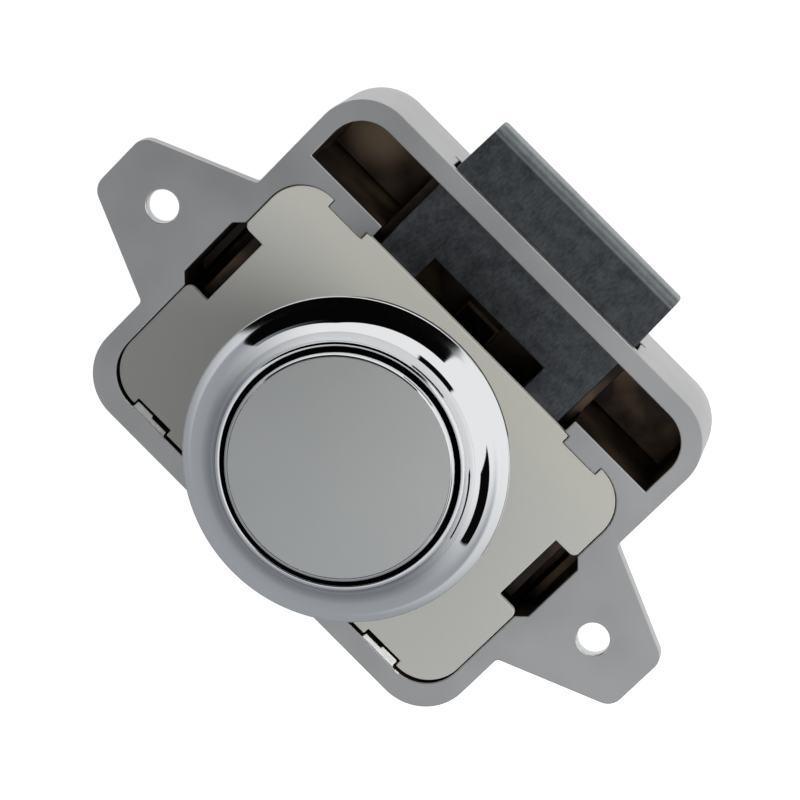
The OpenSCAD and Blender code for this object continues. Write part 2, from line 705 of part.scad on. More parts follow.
lock_case();
carrier_plate();
latch_bolt();
bolt_spring_left();
bolt_spring_right();
spring_pin_left();
spring_pin_right();
rosette();
rosette_gasket();
knob_shell();
knob_face();
knob_stem();
stem_nut();
knob_spring();
spring_washer();
cam_carriage();
carriage_pin();
cam_wire();
wire_leaf();
leaf_screw();
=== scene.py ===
import json
import math

import bpy
from mathutils import Matrix, Vector


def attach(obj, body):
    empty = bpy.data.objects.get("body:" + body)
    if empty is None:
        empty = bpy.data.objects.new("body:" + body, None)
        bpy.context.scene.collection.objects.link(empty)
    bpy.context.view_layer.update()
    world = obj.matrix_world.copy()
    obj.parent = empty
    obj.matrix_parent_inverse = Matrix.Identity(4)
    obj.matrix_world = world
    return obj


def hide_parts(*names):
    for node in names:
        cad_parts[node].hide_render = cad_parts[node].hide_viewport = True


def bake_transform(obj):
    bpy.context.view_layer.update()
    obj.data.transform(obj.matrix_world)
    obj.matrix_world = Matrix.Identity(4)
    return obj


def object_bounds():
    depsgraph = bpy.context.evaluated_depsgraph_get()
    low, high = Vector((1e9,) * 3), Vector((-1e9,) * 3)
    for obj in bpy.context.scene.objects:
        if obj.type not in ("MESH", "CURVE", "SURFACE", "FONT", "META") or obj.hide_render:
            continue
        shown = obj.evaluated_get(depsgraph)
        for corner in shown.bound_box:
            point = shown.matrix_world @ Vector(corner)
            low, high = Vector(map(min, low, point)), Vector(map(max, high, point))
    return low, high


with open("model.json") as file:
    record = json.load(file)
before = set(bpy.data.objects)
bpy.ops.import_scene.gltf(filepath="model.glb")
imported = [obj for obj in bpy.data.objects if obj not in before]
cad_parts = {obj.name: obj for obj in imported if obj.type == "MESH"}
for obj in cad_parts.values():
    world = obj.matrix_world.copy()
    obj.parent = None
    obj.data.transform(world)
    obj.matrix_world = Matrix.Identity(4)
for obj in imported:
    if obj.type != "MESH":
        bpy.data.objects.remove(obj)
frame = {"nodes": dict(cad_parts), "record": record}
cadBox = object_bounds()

mm = 0.001
nodes = frame["nodes"]


def hexColor(code):  # sRGB hex to linear RGBA
    parts = [int(code[i:i + 2], 16) / 255 for i in (1, 3, 5)]
    return tuple(p / 12.92 if p <= 0.04045 else ((p + 0.055) / 1.055) ** 2.4 for p in parts) + (1.0,)


white = hexColor("#ffffff")


# settings are attributes or input values, stops are the positions and colours of a ramp
def addNode(tree, kind, settings=None, links=None, stops=()):
    node = tree.nodes.new(kind)
    for key, value in (settings or {}).items():
        if isinstance(key, str) and hasattr(node, key):
            setattr(node, key, value)
        else:
            node.inputs[key].default_value = value
    for key, source in (links or {}).items():
        tree.links.new(source, node.inputs[key])
    for at, _ in stops[1:-1]:
        node.color_ramp.elements.new(at)
    for i, (at, color) in enumerate(stops):
        node.color_ramp.elements[i].position = at
        node.color_ramp.elements[i].color = color
    return node


def newMaterial(name):
    material = bpy.data.materials.new(name)
    material.use_nodes = True
    material.node_tree.nodes.clear()
    return material, material.node_tree


def patternScale(size):  # size in mm, noise scale per metre
    return 1000 / size


def addObject(name, data):
    item = bpy.data.objects.new(name, data)
    bpy.context.scene.collection.objects.link(item)
    return item


# Camera at the photograph's angle, aimed at the mounting face
viewSet = {
    "aim": (-0.11, 3.58, 0.0),  # mm
    "distance": 374.8,          # mm
    "azimuth": -176.02,         # degrees
    "elevation": 74.87,         # degrees
    "roll": -138.67,            # degrees
    "lens": 155.5,              # mm
    "sensor": 36,               # mm
    "clip": (0.01, 10),         # m
}


def makeCamera():
    data = bpy.data.cameras.new("photoCamera")
    data.lens = viewSet["lens"]
    data.sensor_width = viewSet["sensor"]
    data.clip_start, data.clip_end = viewSet["clip"]
    camera = addObject("photoCamera", data)
    a = math.radians(viewSet["azimuth"])
    e = math.radians(viewSet["elevation"])
    back = Vector((math.sin(a) * math.cos(e), -math.cos(a) * math.cos(e), math.sin(e)))
    place = (Vector(viewSet["aim"]) + back * viewSet["distance"]) * mm
    turn = back.to_track_quat("Z", "Y").to_matrix().to_4x4()
    roll = Matrix.Rotation(math.radians(viewSet["roll"]), 4, "Z")
    camera.matrix_world = Matrix.Translation(place) @ turn @ roll
    bpy.context.scene.camera = camera


makeCamera()
print("camera ready")


def editOn(piece):
    bpy.ops.object.select_all(action="DESELECT")
    piece.select_set(True)
    bpy.context.view_layer.objects.active = piece
    bpy.ops.object.mode_set(mode="EDIT")
    bpy.ops.mesh.select_all(action="SELECT")


def editOff(smoothAngle=None):  # degrees
    bpy.ops.object.mode_set(mode="OBJECT")
    if smoothAngle:
        bpy.ops.object.shade_smooth_by_angle(angle=math.radians(smoothAngle))


# points are radius and height in mm, and the piece stays in edit mode
def spinSection(name, points, steps, closed=True, angle=math.tau):
    count = len(points)
    edges = [(i, (i + 1) % count) for i in range(count if closed else count - 1)]
    mesh = bpy.data.meshes.new(name)
    mesh.from_pydata([(r * mm, 0, z * mm) for r, z in points], edges, [])
    piece = addObject(name, mesh)
    editOn(piece)
    bpy.ops.mesh.spin(steps=steps, angle=angle, center=(0, 0, 0), axis=(0, 0, 1))
    return piece


# Studio: white surroundings, a pale floor and two soft lamps, with black cards and
# a curved grey wall that only reflections show
studioSet = {
    "fill": 0.36,              # how strongly the white surroundings light the object
    "floor": 2.0,              # m
    "floorPaper": "#e6e6e6",   # the floor as light bounces off it
    "floorShade": "#8f8f8f",   # the share of it that a shadow darkens, as the camera sees it
    "floorGlow": 0.92,         # the share that none darkens, to the camera
    "floorMirrored": 0.5,      # the same in reflections
    "lamps": [                 # name, place in m, size in m, watts
        ("keyLamp", (0.4, 0.3, 0.38), 0.3, 3.9),
        ("fillLamp", (-0.3, 0.35, 0.5), 0.4, 0.5),
    ],
    "cards": [                 # name, centre and size in m, colour, share faded at each edge, tilted
        ("darkCard", (-0.2985, 0.112, 0.46), (0.623, 0.474), "#060606", 0.01, False),
        ("rightCard", (0.45, 0.09, 0.36), (0.34, 0.36), "#0a0a0a", 0.05, True),
        ("toeCard", (0.02, 0.6, 0.06), (0.3, 0.3), "#0a0a0a", 0.08, True),
    ],
    "cardHalf": 0.5,           # a card is a plane of size 1, so it reaches this far from its middle
}


def makeSurroundings():
    scene = bpy.context.scene
    scene.view_settings.view_transform = "Standard"
    world = bpy.data.worlds.new("studioWorld")
    scene.world = world
    world.use_nodes = True
    tree = world.node_tree
    tree.nodes.clear()
    path = addNode(tree, "ShaderNodeLightPath")
    seen = addNode(tree, "ShaderNodeMath", {"operation": "MAXIMUM"},
                   {0: path.outputs["Is Camera Ray"], 1: path.outputs["Is Glossy Ray"]})
    clear = addNode(tree, "ShaderNodeMath", {"operation": "MAXIMUM"},
                    {0: seen.outputs[0], 1: path.outputs["Is Transmission Ray"]})
    level = addNode(tree, "ShaderNodeMapRange", {"To Min": studioSet["fill"], "To Max": 1.0},
                    {"Value": clear.outputs[0]})
    light = addNode(tree, "ShaderNodeBackground", {"Color": white}, {"Strength": level.outputs["Result"]})
    addNode(tree, "ShaderNodeOutputWorld", None, {"Surface": light.outputs[0]})


def makeFloor():
    bpy.ops.object.select_all(action="DESELECT")
    bpy.ops.mesh.primitive_plane_add(size=studioSet["floor"], location=(0, 0, cadBox[0].z))
    floor = bpy.context.object
    floor.name = "floor"
    material, tree = newMaterial("floorPaper")
    path = addNode(tree, "ShaderNodeLightPath")
    seen = addNode(tree, "ShaderNodeMath", {"operation": "MAXIMUM"},
                   {0: path.outputs["Is Camera Ray"], 1: path.outputs["Is Glossy Ray"]})
    paper = addNode(tree, "ShaderNodeBsdfDiffuse", {"Color": hexColor(studioSet["floorPaper"])})
    shade = addNode(tree, "ShaderNodeBsdfDiffuse", {"Color": hexColor(studioSet["floorShade"])})
    strength = addNode(tree, "ShaderNodeMapRange",
                       {"To Min": studioSet["floorGlow"], "To Max": studioSet["floorMirrored"]},
                       {"Value": path.outputs["Is Glossy Ray"]})
    glow = addNode(tree, "ShaderNodeEmission", {"Color": white}, {"Strength": strength.outputs["Result"]})
    bright = addNode(tree, "ShaderNodeAddShader", None, {0: shade.outputs[0], 1: glow.outputs[0]})
    mixed = addNode(tree, "ShaderNodeMixShader", None,
                    {0: seen.outputs[0], 1: paper.outputs[0], 2: bright.outputs[0]})
    # Clear from its back, because the latch lies on it and is looked at from below too
    facing = addNode(tree, "ShaderNodeNewGeometry")
    clear = addNode(tree, "ShaderNodeBsdfTransparent")
    sided = addNode(tree, "ShaderNodeMixShader", None,
                    {0: facing.outputs["Backfacing"], 1: mixed.outputs[0], 2: clear.outputs[0]})
    addNode(tree, "ShaderNodeOutputMaterial", None, {"Surface": sided.outputs[0]})
    floor.data.materials.append(material)


def makeLamps():
    for name, place, size, watts in studioSet["lamps"]:
        data = bpy.data.lights.new(name, "AREA")
        data.size = size
        data.energy = watts
        lamp = addObject(name, data)
        lamp.visible_glossy = False
        lamp.location = place
        lamp.rotation_mode = "QUATERNION"
        lamp.rotation_quaternion = Vector(place).to_track_quat("Z", "Y")


def mirroredOnly(item):  # nothing but a reflection shows it
    item.visible_camera = False
    item.visible_diffuse = False
    item.visible_transmission = False
    item.visible_shadow = False


def makeCards():
    half = studioSet["cardHalf"]
    for name, place, size, color, fade, tilted in studioSet["cards"]:
        bpy.ops.object.select_all(action="DESELECT")
        bpy.ops.mesh.primitive_plane_add(size=2 * half)
        card = bpy.context.object
        card.name = name
        turn = Matrix.Identity(4)
        if tilted:  # faces the latch, its depth lying level
            out = Vector(place).normalized()
            level = Vector((0, 0, 1)).cross(out).normalized()
            turn = Matrix((level.cross(out), level, out)).transposed().to_4x4()
        card.matrix_world = Matrix.Translation(place) @ turn @ Matrix.Diagonal((*size, 1, 1))
        mirroredOnly(card)
        material, tree = newMaterial(name + "Paper")
        tone = addNode(tree, "ShaderNodeEmission", {"Color": hexColor(color)})
        clear = addNode(tree, "ShaderNodeBsdfTransparent")
        coords = addNode(tree, "ShaderNodeTexCoord")
        spot = addNode(tree, "ShaderNodeSeparateXYZ", None, {"Vector": coords.outputs["Object"]})
        cover = []
        for axis in "XY":
            out = addNode(tree, "ShaderNodeMath", {"operation": "ABSOLUTE"}, {0: spot.outputs[axis]})
            cover.append(addNode(tree, "ShaderNodeMapRange",
                                 {"From Min": half, "From Max": half - fade,
                                  "interpolation_type": "SMOOTHSTEP"},
                                 {"Value": out.outputs[0]}))
        whole = addNode(tree, "ShaderNodeMath", {"operation": "MULTIPLY"},
                        {0: cover[0].outputs["Result"], 1: cover[1].outputs["Result"]})
        faded = addNode(tree, "ShaderNodeMixShader", None,
                        {0: whole.outputs[0], 1: clear.outputs[0], 2: tone.outputs[0]})
        addNode(tree, "ShaderNodeOutputMaterial", None, {"Surface": faded.outputs[0]})
        card.data.materials.append(material)


# Grey wall: stands round the heel side and curves over the top
wallSet = {
    "section": [               # radius and height in mm
        (70, -14.5), (550, -14.5), (600, 50), (600, 200), (500, 420), (300, 560), (20, 620),
    ],
    "steps": 72,
    "sharp": 60,               # degrees
    "rise": (-0.6, 1.0),       # sine of the elevation where the tones begin and end
    "tones": [(0.0, "#6c6e71"), (0.42, "#828488"), (0.6, "#909397"), (0.75, "#a0a3a7"), (1.0, "#a6a9ad")],
    "side": (-0.45, 0.65),     # fades in between these cosines of the angle from the heel
    "top": (0.978, 0.936),     # and between these sines of the elevation
}


def makeWall():
    wall = spinSection("greyWall", wallSet["section"], wallSet["steps"], closed=False)
    editOff(wallSet["sharp"])
    mirroredOnly(wall)
    material, tree = newMaterial("greyWallPaper")
    coords = addNode(tree, "ShaderNodeTexCoord")
    way = addNode(tree, "ShaderNodeVectorMath", {"operation": "NORMALIZE"}, {0: coords.outputs["Object"]})
    height = addNode(tree, "ShaderNodeSeparateXYZ", None, {"Vector": way.outputs["Vector"]})
    level = addNode(tree, "ShaderNodeVectorMath", {"operation": "MULTIPLY", 1: (1, 1, 0)},
                    {0: coords.outputs["Object"]})
    flat = addNode(tree, "ShaderNodeVectorMath", {"operation": "NORMALIZE"}, {0: level.outputs["Vector"]})
    heel = addNode(tree, "ShaderNodeVectorMath", {"operation": "DOT_PRODUCT", 1: (0, -1, 0)},
                   {0: flat.outputs["Vector"]})
    cover = []
    for fade, source in ((wallSet["side"], heel.outputs["Value"]), (wallSet["top"], height.outputs["Z"])):
        cover.append(addNode(tree, "ShaderNodeMapRange",
                             {"From Min": fade[0], "From Max": fade[1], "interpolation_type": "SMOOTHSTEP"},
                             {"Value": source}))
    whole = addNode(tree, "ShaderNodeMath", {"operation": "MULTIPLY"},
                    {0: cover[0].outputs["Result"], 1: cover[1].outputs["Result"]})
    rise = addNode(tree, "ShaderNodeMapRange",
                   {"From Min": wallSet["rise"][0], "From Max": wallSet["rise"][1]},
                   {"Value": height.outputs["Z"]})
    tone = addNode(tree, "ShaderNodeValToRGB", None, {"Fac": rise.outputs["Result"]},
                   [(at, hexColor(color)) for at, color in wallSet["tones"]])
    glow = addNode(tree, "ShaderNodeEmission", None, {"Color": tone.outputs["Color"]})
    clear = addNode(tree, "ShaderNodeBsdfTransparent")
    faded = addNode(tree, "ShaderNodeMixShader", None,
                    {0: whole.outputs[0], 1: clear.outputs[0], 2: glow.outputs[0]})
    addNode(tree, "ShaderNodeOutputMaterial", None, {"Surface": faded.outputs[0]})
    wall.data.materials.append(material)


makeSurroundings()
makeFloor()
makeLamps()
makeCards()
makeWall()
print("studio ready")

# How a CAD copy is cleaned and a new piece is closed
meshSet = {
    "weld": 0.001,             # mm, joins the loose triangles of a CAD mesh
    "flat": 0.4,               # degrees, below which two faces are one
    "sharp": 35,               # degrees, above which an edge is softened
    "edgeSegments": 2,
    "flatWeight": 100,         # keeps broad faces flat beside softened edges
    "spunWeld": 0.0005,        # mm, closes the seam and poles of a spun piece
    "spunSharp": 28,           # degrees, above which a spun piece shows an edge
}


def mergedCopy(nodeName, name):  # the CAD node's shape with joined faces, free to be bevelled
    piece = addObject(name, nodes[nodeName].data.copy())
    bpy.ops.object.select_all(action="DESELECT")
    piece.select_set(True)
    bpy.context.view_layer.objects.active = piece
    if piece.data.has_custom_normals:
        bpy.ops.mesh.customdata_custom_splitnormals_clear()
    editOn(piece)
    bpy.ops.mesh.remove_doubles(threshold=meshSet["weld"] * mm)
    bpy.ops.mesh.dissolve_limited(angle_limit=math.radians(meshSet["flat"]))
    editOff()
    return piece


def softenEdges(piece, width):  # width in mm
    bevel = piece.modifiers.new("edgeBevel", "BEVEL")
    bevel.width = width * mm
    bevel.segments = meshSet["edgeSegments"]
    bevel.limit_method = "ANGLE"
    bevel.angle_limit = math.radians(meshSet["sharp"])
    bevel.use_clamp_overlap = False
    bevel.miter_outer = "MITER_SHARP"
    bpy.context.view_layer.objects.active = piece
    bpy.ops.object.modifier_apply(modifier=bevel.name)
    bpy.ops.object.shade_smooth()
    weighted = piece.modifiers.new("flatFaces", "WEIGHTED_NORMAL")
    weighted.mode = "FACE_AREA"
    weighted.weight = meshSet["flatWeight"]
    bpy.ops.object.modifier_apply(modifier=weighted.name)


def finishPiece(piece, body, nodeName, materials):
    piece.data.materials.clear()
    for material in materials:
        piece.data.materials.append(material)
    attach(piece, body)
    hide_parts(nodeName)


def roundedPath(corners, step=8):  # corners are radius, height and rounding in mm, step in degrees
    points = []
    for i, (r, z, rounding) in enumerate(corners):
        here = Vector((r, z))
        if rounding == 0:
            points.append((r, z))
            continue
        back = (Vector(corners[i - 1][:2]) - here).normalized()
        ahead = (Vector(corners[(i + 1) % len(corners)][:2]) - here).normalized()
        half = back.angle(ahead) / 2
        centre = here + (back + ahead).normalized() * rounding / math.sin(half)
        start = here + back * rounding / math.tan(half) - centre
        end = here + ahead * rounding / math.tan(half) - centre
        turn = math.atan2(start.x * end.y - start.y * end.x, start.dot(end))
        count = max(2, math.ceil(abs(math.degrees(turn)) / step))
        for k in range(count + 1):
            a = turn * k / count
            points.append((centre.x + start.x * math.cos(a) - start.y * math.sin(a),
                           centre.y + start.x * math.sin(a) + start.y * math.cos(a)))
    return points


def spunPiece(name, points, steps, closed=True):  # a whole turn of a section, in mm
    piece = spinSection(name, points, steps, closed)
    bpy.ops.mesh.select_all(action="SELECT")
    bpy.ops.mesh.remove_doubles(threshold=meshSet["spunWeld"] * mm)
    bpy.ops.mesh.normals_make_consistent(inside=False)
    editOff(meshSet["spunSharp"])
    return piece


# Satin chrome on a zinc casting: a soft grey sheen with faint waves left by the polishing
caseChromeSet = {
    "dark": "#cccccd", "light": "#dadada", "spread": (0.35, 0.65),
    "wave": 11, "grain": 0.35, "depth": 0.03,  # mm
    "rough": (0.4, 0.46),
}


def makeCaseChrome():
    s = caseChromeSet
    material, tree = newMaterial("satinChromeCasting")
    coords = addNode(tree, "ShaderNodeTexCoord")
    wave = addNode(tree, "ShaderNodeTexNoise", {"Scale": patternScale(s["wave"]), "Detail": 2.0},
                   {"Vector": coords.outputs["Object"]})
    grain = addNode(tree, "ShaderNodeTexNoise", {"Scale": patternScale(s["grain"]), "Detail": 2.0},
                    {"Vector": coords.outputs["Object"]})
    tone = addNode(tree, "ShaderNodeValToRGB", None, {"Fac": wave.outputs["Fac"]},
                   [(s["spread"][0], hexColor(s["dark"])), (s["spread"][1], hexColor(s["light"]))])
    rough = addNode(tree, "ShaderNodeMapRange", {"To Min": s["rough"][0], "To Max": s["rough"][1]},
                    {"Value": wave.outputs["Fac"]})
    bump = addNode(tree, "ShaderNodeBump", {"Strength": 0.05, "Distance": s["depth"] * mm},
                   {"Height": grain.outputs["Fac"]})
    shader = addNode(tree, "ShaderNodeBsdfPrincipled", {"Metallic": 1.0},
                     {"Base Color": tone.outputs["Color"], "Roughness": rough.outputs["Result"],
                      "Normal": bump.outputs["Normal"]})
    addNode(tree, "ShaderNodeOutputMaterial", None, {"Surface": shader.outputs[0]})
    return material


# Inside the casting: darkened as painted shade in its recesses, and bare zinc where plating hardly reaches;
# dull and patchy, with pale painted reflections
recessShadeSet = {
    "dark": "#3c3430", "brown": "#7f6b57", "spread": (0.45, 0.72),
    "patch": 6.5,              # mm
    "reflectionTone": "#e8ccaa",
    "paintedReflections": [                # painted reflections: place and radius in mm, strength
        ((-22.0, 19.5, -13.8), 4.6, 0.75),
        ((-17.5, 16.5, -10.5), 4.2, 0.7),
        ((0.0, 17.0, -13.8), 9.0, 0.3),
    ],
    "metal": (0.85, 0.2),      # bare, and under the painted reflections
    "rough": 0.42,
}


def makeRecessShade():
    s = recessShadeSet
    material, tree = newMaterial("recessZincPaintedShade")
    coords = addNode(tree, "ShaderNodeTexCoord")
    patch = addNode(tree, "ShaderNodeTexNoise", {"Scale": patternScale(s["patch"]), "Detail": 3.0},
                    {"Vector": coords.outputs["Object"]})
    tone = addNode(tree, "ShaderNodeValToRGB", None, {"Fac": patch.outputs["Fac"]},
                   [(s["spread"][0], hexColor(s["dark"])), (s["spread"][1], hexColor(s["brown"]))])
    total = None
    # pale painted reflections, laid on as soft spots
    for place, radius, strength in s["paintedReflections"]:
        away = addNode(tree, "ShaderNodeVectorMath", {"operation": "DISTANCE", 1: [c * mm for c in place]},
                       {0: coords.outputs["Object"]})
        spot = addNode(tree, "ShaderNodeMapRange",
                       {"From Min": radius * mm, "From Max": 0.0, "To Max": strength,
                        "interpolation_type": "SMOOTHSTEP"},
                       {"Value": away.outputs["Value"]})
        links = {0: spot.outputs["Result"]}
        if total:
            links[1] = total.outputs[0]
        total = addNode(tree, "ShaderNodeMath", {"operation": "ADD", "use_clamp": True, 1: 0.0}, links)
    withReflections = addNode(tree, "ShaderNodeMix", {"data_type": "RGBA", 7: hexColor(s["reflectionTone"])},
                      {0: total.outputs[0], 6: tone.outputs["Color"]})
    metal = addNode(tree, "ShaderNodeMapRange", {"To Min": s["metal"][0], "To Max": s["metal"][1]},
                    {"Value": total.outputs[0]})
    shader = addNode(tree, "ShaderNodeBsdfPrincipled", {"Roughness": s["rough"]},
                     {"Base Color": withReflections.outputs[2], "Metallic": metal.outputs["Result"]})
    addNode(tree, "ShaderNodeOutputMaterial", None, {"Surface": shader.outputs[0]})
    return material


# Mirror chrome: nearly clear reflections with a trace of haze
mirrorChromeSet = {"color": "#e3e5e7", "haze": 14, "rough": (0.02, 0.05)}  # haze in mm


def makeMirrorChrome():
    s = mirrorChromeSet
    material, tree = newMaterial("mirrorChrome")
    coords = addNode(tree, "ShaderNodeTexCoord")
    haze = addNode(tree, "ShaderNodeTexNoise", {"Scale": patternScale(s["haze"]), "Detail": 2.0},
                   {"Vector": coords.outputs["Object"]})
    rough = addNode(tree, "ShaderNodeMapRange", {"To Min": s["rough"][0], "To Max": s["rough"][1]},
                    {"Value": haze.outputs["Fac"]})
    shader = addNode(tree, "ShaderNodeBsdfPrincipled", {"Metallic": 1.0, "Base Color": hexColor(s["color"])},
                     {"Roughness": rough.outputs["Result"]})
    addNode(tree, "ShaderNodeOutputMaterial", None, {"Surface": shader.outputs[0]})
    return material


# Satin chrome, very finely blasted: an even grey sheen; grit of 0.1 mm, drawn at 0.25 mm to show
satinChromeSet = {
    "dark": "#dee0de", "light": "#e6e7e4",
    "cloud": 8, "grain": 0.25, "depth": 0.02,  # mm
    "rough": 0.42,
}


def makeSatinChrome():
    s = satinChromeSet
    material, tree = newMaterial("blastedSatinChrome")
    coords = addNode(tree, "ShaderNodeTexCoord")
    cloud = addNode(tree, "ShaderNodeTexNoise", {"Scale": patternScale(s["cloud"]), "Detail": 2.0},
                    {"Vector": coords.outputs["Object"]})
    grain = addNode(tree, "ShaderNodeTexNoise", {"Scale": patternScale(s["grain"]), "Detail": 1.0},
                    {"Vector": coords.outputs["Object"]})
    tone = addNode(tree, "ShaderNodeMix",
                   {"data_type": "RGBA", 6: hexColor(s["dark"]), 7: hexColor(s["light"])},
                   {0: cloud.outputs["Fac"]})
    bump = addNode(tree, "ShaderNodeBump", {"Strength": 0.08, "Distance": s["depth"] * mm},
                   {"Height": grain.outputs["Fac"]})
    shader = addNode(tree, "ShaderNodeBsdfPrincipled", {"Metallic": 1.0, "Roughness": s["rough"]},
                     {"Base Color": tone.outputs[2], "Normal": bump.outputs["Normal"]})
    addNode(tree, "ShaderNodeOutputMaterial", None, {"Surface": shader.outputs[0]})
    return material


# Passivated zinc of the bolt: blue-grey crystal grain, brushed along its travel, lighter at the nose: partly
# worn bright, partly a painted highlight along its rounded front edges
boltZincSet = {
    "dark": "#4b4e52", "light": "#6b6f73", "spread": (0.72, 1.3),
    "grain": 0.3, "patch": 1.6, "depth": 0.05,  # mm
    "brushed": (1.0, 0.45, 1.0),
    "wornAndHighlightTone": "#c4cacb",
    "wearAndHighlightY": (31, 33),         # mm, where the wear and painted highlight begin and end
    "wearAndHighlight": [(0.22, 0.0), (0.34, 0.62), (0.46, 0.25), (0.8, 0.3), (0.93, 0.85)],  # place along it, amount
    "unevenness": (0.65, 1.1),        # how unevenly the wear and painted highlight lie
    "rough": (0.36, 0.46),
}


def makeBoltZinc():
    s = boltZincSet
    material, tree = newMaterial("passivatedZinc")
    coords = addNode(tree, "ShaderNodeTexCoord")
    stretch = addNode(tree, "ShaderNodeMapping", {"Scale": s["brushed"]},
                      {"Vector": coords.outputs["Object"]})
    grain = addNode(tree, "ShaderNodeTexNoise", {"Scale": patternScale(s["grain"]), "Detail": 3.0},
                    {"Vector": stretch.outputs["Vector"]})
    patch = addNode(tree, "ShaderNodeTexNoise", {"Scale": patternScale(s["patch"]), "Detail": 4.0},
                    {"Vector": coords.outputs["Object"]})
    both = addNode(tree, "ShaderNodeMath", {"operation": "ADD"},
                   {0: grain.outputs["Fac"], 1: patch.outputs["Fac"]})
    tone = addNode(tree, "ShaderNodeMapRange", {"From Min": s["spread"][0], "From Max": s["spread"][1]},
                   {"Value": both.outputs[0]})
    zinc = addNode(tree, "ShaderNodeMix",
                   {"data_type": "RGBA", 6: hexColor(s["dark"]), 7: hexColor(s["light"])},
                   {0: tone.outputs["Result"]})
    place = addNode(tree, "ShaderNodeSeparateXYZ", None, {"Vector": coords.outputs["Object"]})
    # lighter bands near the nose: rubbed wear and painted highlight
    along = addNode(tree, "ShaderNodeMapRange",
                    {"From Min": s["wearAndHighlightY"][0] * mm, "From Max": s["wearAndHighlightY"][1] * mm},
                    {"Value": place.outputs["Y"]})
    wearAndHighlight = addNode(tree, "ShaderNodeValToRGB", None, {"Fac": along.outputs["Result"]},
                   [(at, (amount, amount, amount, 1)) for at, amount in s["wearAndHighlight"]])
    unevenness = addNode(tree, "ShaderNodeMapRange", {"To Min": s["unevenness"][0], "To Max": s["unevenness"][1]},
                  {"Value": patch.outputs["Fac"]})
    wearAndHighlightAmount = addNode(tree, "ShaderNodeMath", {"operation": "MULTIPLY", "use_clamp": True},
                      {0: wearAndHighlight.outputs["Color"], 1: unevenness.outputs["Result"]})
    color = addNode(tree, "ShaderNodeMix", {"data_type": "RGBA", 7: hexColor(s["wornAndHighlightTone"])},
                    {0: wearAndHighlightAmount.outputs[0], 6: zinc.outputs[2]})
    rough = addNode(tree, "ShaderNodeMapRange", {"To Min": s["rough"][0], "To Max": s["rough"][1]},
                    {"Value": patch.outputs["Fac"]})
    bump = addNode(tree, "ShaderNodeBump", {"Strength": 0.25, "Distance": s["depth"] * mm},
                   {"Height": grain.outputs["Fac"]})
    shader = addNode(tree, "ShaderNodeBsdfPrincipled", {"Metallic": 1.0},
                     {"Base Color": color.outputs[2], "Roughness": rough.outputs["Result"],
                      "Normal": bump.outputs["Normal"]})
    addNode(tree, "ShaderNodeOutputMaterial", None, {"Surface": shader.outputs[0]})
    return material


# Natural nylon, moulded with a finely textured face: milky, a little warmer towards the toe, soft sheen
nylonSet = {
    "cool": "#b0b1ae", "warm": "#b5b4ac", "clouded": 0.5,
    "cloud": 16, "texture": 0.4, "depth": 0.03,  # mm
    "warmY": (6, 14),          # mm, where the warmer tone sets in
    "rough": 0.5, "ior": 1.53,
}


def makeNylon():
    s = nylonSet
    material, tree = newMaterial("naturalNylon")
    coords = addNode(tree, "ShaderNodeTexCoord")
    cloud = addNode(tree, "ShaderNodeTexNoise", {"Scale": patternScale(s["cloud"]), "Detail": 1.0},
                    {"Vector": coords.outputs["Object"]})
    texture = addNode(tree, "ShaderNodeTexNoise", {"Scale": patternScale(s["texture"]), "Detail": 1.0},
                      {"Vector": coords.outputs["Object"]})
    place = addNode(tree, "ShaderNodeSeparateXYZ", None, {"Vector": coords.outputs["Object"]})
    toe = addNode(tree, "ShaderNodeMapRange",
                  {"From Min": s["warmY"][0] * mm, "From Max": s["warmY"][1] * mm},
                  {"Value": place.outputs["Y"]})
    mixed = addNode(tree, "ShaderNodeMath", {"operation": "MULTIPLY_ADD", 1: s["clouded"]},
                    {0: cloud.outputs["Fac"], 2: toe.outputs["Result"]})
    tone = addNode(tree, "ShaderNodeMix",
                   {"data_type": "RGBA", 6: hexColor(s["cool"]), 7: hexColor(s["warm"])},
                   {0: mixed.outputs[0]})
    bump = addNode(tree, "ShaderNodeBump", {"Strength": 0.06, "Distance": s["depth"] * mm},
                   {"Height": texture.outputs["Fac"]})
    shader = addNode(tree, "ShaderNodeBsdfPrincipled", {"Roughness": s["rough"], "IOR": s["ior"]},
                     {"Base Color": tone.outputs[2], "Normal": bump.outputs["Normal"]})
    addNode(tree, "ShaderNodeOutputMaterial", None, {"Surface": shader.outputs[0]})
    return material


def grainedMaterial(name, light, dark, grain, rough, metallic):  # grain in mm
    material, tree = newMaterial(name)
    coords = addNode(tree, "ShaderNodeTexCoord")
    noise = addNode(tree, "ShaderNodeTexNoise", {"Scale": patternScale(grain), "Detail": 3.0},
                    {"Vector": coords.outputs["Object"]})
    tone = addNode(tree, "ShaderNodeMix", {"data_type": "RGBA", 6: hexColor(dark), 7: hexColor(light)},
                   {0: noise.outputs["Fac"]})
    bump = addNode(tree, "ShaderNodeBump", {"Strength": 0.15, "Distance": 0.03 * mm},
                   {"Height": noise.outputs["Fac"]})
    shader = addNode(tree, "ShaderNodeBsdfPrincipled", {"Roughness": rough, "Metallic": metallic},
                     {"Base Color": tone.outputs[2], "Normal": bump.outputs["Normal"]})
    addNode(tree, "ShaderNodeOutputMaterial", None, {"Surface": shader.outputs[0]})
    return material


caseChrome = makeCaseChrome()
# Tops of the heel keys: a painted highlight, near-white and hardly metallic, so that they show bright like
# chrome glints
lugHighlight = grainedMaterial("heelKeyPaintedHighlight", "#fbfcfa", "#c9ccca", 0.45, 0.45, 0.1)
# dark finish of the recesses: painted shade over bare zinc
recessShade = makeRecessShade()
mirrorChrome = makeMirrorChrome()
satinChrome = makeSatinChrome()
boltZinc = makeBoltZinc()
nylon = makeNylon()
